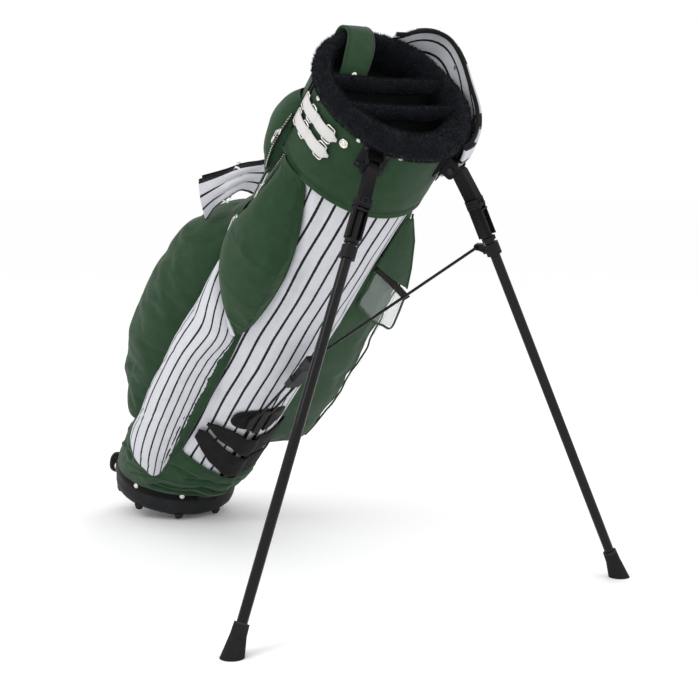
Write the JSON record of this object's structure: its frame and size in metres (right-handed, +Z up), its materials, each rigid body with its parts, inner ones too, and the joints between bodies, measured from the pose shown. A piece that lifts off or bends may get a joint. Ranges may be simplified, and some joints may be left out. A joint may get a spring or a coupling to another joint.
{
  "type": "golf stand bag",
  "caption": "Golf bag standing on two splayed legs: slanted tube with a divided fur-rimmed mouth, side pockets, straps and a hinged base that swings the legs through a sliding yoke.",
  "frame": {"origin": "on the floor, midway along the deployed bag's length and width", "axes": "+X from the base towards the legs' feet, +Y to the bag's right, +Z up"},
  "size_m": [0.838, 0.6422, 0.7494],
  "materials": {
    "green_canvas": "woven matte",
    "stripe_fabric": "white woven with black pinstripes",
    "black_webbing": "woven matte",
    "black_fur": "plush pile",
    "black_plastic": "moulded, fine texture",
    "grey_plastic": "moulded, fine texture",
    "nickel": "polished",
    "black_tube": "gloss black coated",
    "steel_rod": "black coated",
    "black_rubber": "matte",
    "white_leather": "smooth",
    "clear_vinyl": "clear, soft",
    "stay_plastic": "satin"
  },
  "bodies": {
    "base": {"base_shell": "grey_plastic", "base_ring": "black_plastic", "base_rivets": "nickel", "base_cleats": "black_rubber", "base_pivot_pins": "nickel", "rod_clip": "black_plastic", "base_grip": "black_plastic"},
    "yoke": {"slide_yoke": "grey_plastic", "u_rod": "steel_rod"},
    "side_zip_pull": {"side_zip_pull": "nickel"},
    "leg_left": {"leg_head_left": "black_plastic", "leg_tube_left": "black_tube", "leg_ring_left": "black_plastic", "leg_collar_left": "black_plastic", "leg_foot_left": "black_rubber"},
    "push_rod_left": {"push_rod_left": "steel_rod"},
    "towel_ring_left": {"towel_ring_left": "nickel"},
    "leg_right": {"leg_head_right": "black_plastic", "leg_tube_right": "black_tube", "leg_ring_right": "black_plastic", "leg_collar_right": "black_plastic", "leg_foot_right": "black_rubber"},
    "push_rod_right": {"push_rod_right": "steel_rod"},
    "towel_ring_right": {"towel_ring_right": "nickel"},
    "bag": {"back_stay": "stay_plastic", "ball_pocket": "green_canvas", "bracket_screws": "nickel", "clear_window": "clear_vinyl", "cuff_buckles": "nickel", "cuff_straps": "white_leather", "divider_bars": "black_fur", "divider_panels": "black_webbing", "elastic_band": "black_webbing", "fur_rim": "black_fur", "grab_handle": "green_canvas", "leg_bracket_left": "black_plastic", "leg_bracket_right": "black_plastic", "leg_pivot_pins": "nickel", "lower_hoop": "black_plastic", "panel_pocket": "green_canvas", "pocket_flap": "green_canvas", "rim_ring": "black_plastic", "rim_rivets": "nickel", "rim_trim": "black_webbing", "ring_tabs": "black_webbing", "rod_guide": "black_plastic", "shoulder_strap_left": "stripe_fabric", "shoulder_strap_right": "stripe_fabric", "side_pocket_left": "stripe_fabric", "side_pocket_right": "green_canvas", "side_stays": "stay_plastic", "side_zip": "black_webbing", "skirt": "green_canvas", "sleeve_band_lower": "black_webbing", "sleeve_band_upper": "black_webbing", "snap_button": "nickel", "strap_buckle": "nickel", "top_cuff": "green_canvas", "tube_shell": "stripe_fabric", "valuables_pocket": "green_canvas"}
  },
  "joints": [
    {"name": "base_flex", "type": "hinge", "parent": "base", "child": "bag", "pos_m": [-0.3178, 0, 0.06121], "axis": [0, 1, 0], "range_deg": [-30, 0], "deforming": ["skirt"]},
    {"name": "leg_left_swing", "type": "hinge", "parent": "bag", "child": "leg_left", "pos_m": [0.3362, -0.066, 0.55771], "axis": [-0.3305, -0.8805, 0.3399], "range_deg": [-54, 0]},
    {"name": "push_rod_left_swing", "type": "hinge", "parent": "leg_left", "child": "push_rod_left", "pos_m": [0.3362, -0.10492, 0.45689], "axis": [-0.3305, -0.8805, 0.3399], "range_deg": [0, 73.7]},
    {"name": "leg_right_swing", "type": "hinge", "parent": "bag", "child": "leg_right", "pos_m": [0.3362, 0.066, 0.55771], "axis": [0.3305, -0.8805, -0.3399], "range_deg": [-54, 0]},
    {"name": "push_rod_right_swing", "type": "hinge", "parent": "leg_right", "child": "push_rod_right", "pos_m": [0.3362, 0.10492, 0.45689], "axis": [0.3305, -0.8805, -0.3399], "range_deg": [0, 73.7]},
    {"name": "yoke_slide", "type": "slide", "parent": "bag", "child": "yoke", "axis": [0.7169, 0, 0.6972], "range_m": [-0.05025, 0]},
    {"name": "towel_ring_left_swing", "type": "hinge", "parent": "bag", "child": "towel_ring_left", "pos_m": [0.21024, -0.054, 0.70516], "axis": [-0.3486, 0.866, 0.3585], "range_deg": [0, 95]},
    {"name": "towel_ring_right_swing", "type": "hinge", "parent": "bag", "child": "towel_ring_right", "pos_m": [0.20666, 0.04393, 0.70884], "axis": [0.2836, 0.9135, -0.2916], "range_deg": [0, 95]},
    {"name": "side_zip_slide", "type": "slide", "parent": "bag", "child": "side_zip_pull", "axis": [0.7169, 0, 0.6972], "range_m": [-0.036, 0]}
  ],
  "couplings": [
    {"joint": "leg_left_swing", "follows": "base_flex", "ratio": 1.8},
    {"joint": "push_rod_left_swing", "follows": "base_flex", "ratio": -2.4568},
    {"joint": "leg_right_swing", "follows": "base_flex", "ratio": 1.8},
    {"joint": "push_rod_right_swing", "follows": "base_flex", "ratio": -2.4568},
    {"joint": "yoke_slide", "follows": "base_flex", "m_per_rad": 0.09597}
  ]
}
